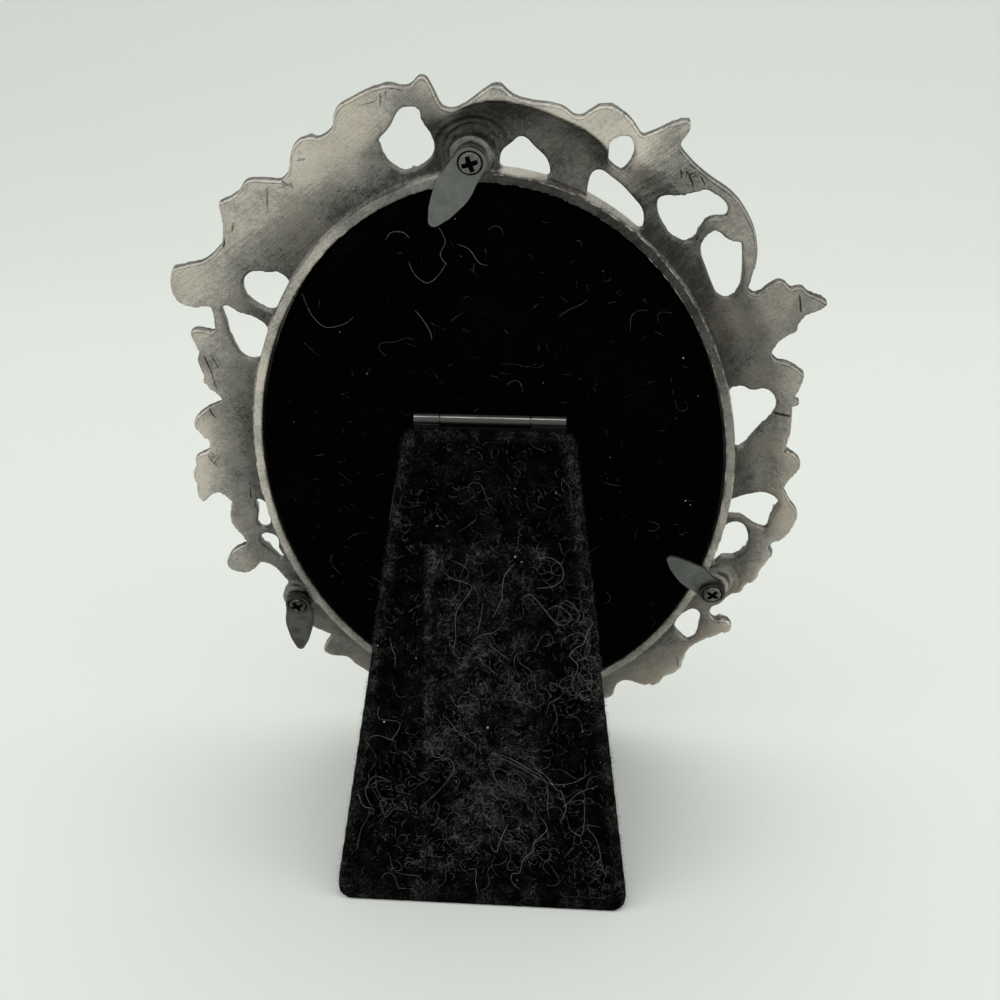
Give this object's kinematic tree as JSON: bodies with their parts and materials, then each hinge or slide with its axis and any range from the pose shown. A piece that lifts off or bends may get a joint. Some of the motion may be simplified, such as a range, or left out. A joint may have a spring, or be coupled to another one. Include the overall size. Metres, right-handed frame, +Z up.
{
  "type": "oval easel picture frame",
  "caption": "Small oval picture frame of cast leaf work that stands on a folding velvet-covered leg, with turn buttons that hold its back.",
  "frame": {"origin": "centre of the bounding box's base, on the table", "axes": "+Z up, the picture faces -Y, the leg stands behind on +Y, +X is to the left as seen from behind"},
  "size_m": [0.1192, 0.06, 0.1509],
  "materials": {
    "pewter": "cast pewter, back ground flat with fine scratches",
    "glass": "clear polished",
    "card": "plain matt card",
    "board": "matt pressed board",
    "velvet": "black velvet",
    "hinge_black": "black paint, worn along the top",
    "steel": "dull grey sheet and wire"
  },
  "bodies": {
    "frame": {"frame_casting": "pewter", "glass_pane": "glass", "picture_card": "card", "back_board": "board", "back_velvet": "velvet", "hinge_board_leaf": "hinge_black", "hinge_pin": "steel", "hinge_rivet_board_left": "steel", "hinge_rivet_board_right": "steel", "turn_button_screw_top": "steel", "turn_button_screw_right": "steel", "turn_button_screw_left": "steel"},
    "leg": {"leg_board": "board", "leg_velvet": "velvet", "leg_lining": "velvet", "hinge_leg_leaf": "hinge_black", "hinge_rivet_leg_left": "steel", "hinge_rivet_leg_right": "steel"},
    "button_top": {"turn_button_top": "steel"},
    "button_right": {"turn_button_right": "steel"},
    "button_left": {"turn_button_left": "steel"}
  },
  "joints": [
    {"name": "leg_hinge", "type": "hinge", "parent": "frame", "child": "leg", "pos_m": [-0.00008, -0.00287, 0.08806], "axis": [-1, 0, 0], "range_deg": [0, 33.7]},
    {"name": "button_top_turn", "type": "hinge", "parent": "frame", "child": "button_top", "pos_m": [0.00158, 0.00914, 0.1378], "axis": [0, 0.9673, -0.2538], "continuous": true},
    {"name": "button_right_turn", "type": "hinge", "parent": "frame", "child": "button_right", "pos_m": [-0.04482, -0.01482, 0.04646], "axis": [0, 0.9673, -0.2538], "continuous": true},
    {"name": "button_left_turn", "type": "hinge", "parent": "frame", "child": "button_left", "pos_m": [0.04279, -0.01676, 0.03905], "axis": [0, 0.9673, -0.2538], "continuous": true}
  ]
}
